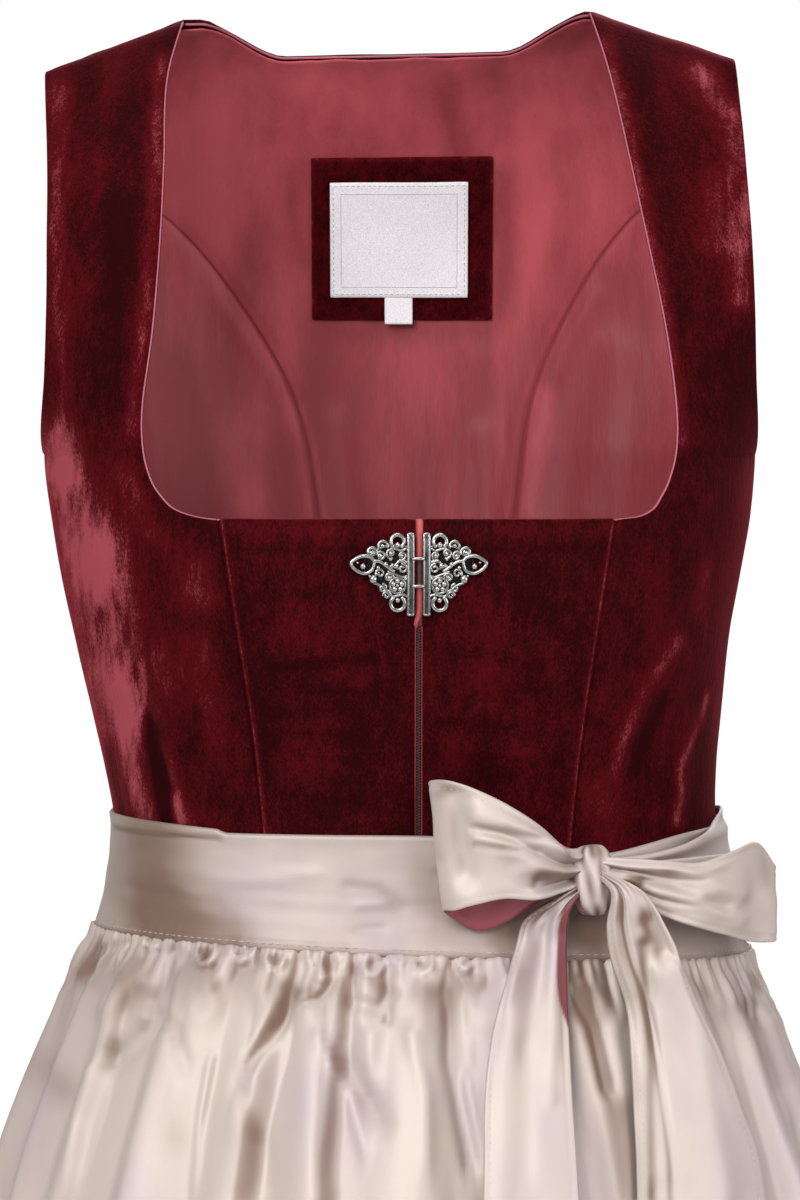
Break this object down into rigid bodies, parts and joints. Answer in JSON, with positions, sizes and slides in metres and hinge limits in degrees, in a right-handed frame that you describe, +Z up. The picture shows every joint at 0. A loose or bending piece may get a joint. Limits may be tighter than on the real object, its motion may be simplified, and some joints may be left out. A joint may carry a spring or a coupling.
{
  "type": "dirndl",
  "caption": "Sleeveless velvet dirndl, filled out as worn, with square neck, hooked front clasp over a zip, gathered skirt and satin apron tied in a side bow.",
  "frame": {"origin": "between the shoulder seams, at their neck ends, where the wearer's shoulders carry the dress", "axes": "+Z up along the body, the front faces -Y, the wearer's left is +X"},
  "size_m": [0.5854, 0.529, 1.0252],
  "materials": {
    "velvet": "crushed pile velvet",
    "lining": "satin lining, soft sheen",
    "apron_satin": "duchess satin",
    "label_cloth": "woven, matt",
    "guard_cloth": "satin, soft sheen",
    "zip_teeth": "moulded",
    "clasp_silver": "antique silver, dark in its hollows"
  },
  "bodies": {
    "root": {"front_centre_right": "velvet", "front_centre_left": "velvet", "front_side_right": "velvet", "front_side_left": "velvet", "back_side_right": "velvet", "back_side_left": "velvet", "back_centre": "velvet", "label_patch": "velvet", "skirt_front": "velvet", "skirt_left": "velvet", "skirt_back": "velvet", "skirt_right": "velvet", "lining_side_right": "lining", "lining_side_left": "lining", "lining_back": "lining", "apron_panel": "apron_satin", "apron_band": "apron_satin", "bow_knot": "apron_satin", "bow_loop_inner": "apron_satin", "bow_loop_outer": "apron_satin", "bow_tail_inner": "apron_satin", "bow_tail_outer": "apron_satin", "tie_back": "apron_satin", "label": "label_cloth", "size_tag": "label_cloth", "zip_guard": "guard_cloth", "zip": "zip_teeth", "zip_slider": "zip_teeth", "clasp_right": "clasp_silver", "clasp_left": "clasp_silver"}
  },
  "joints": []
}
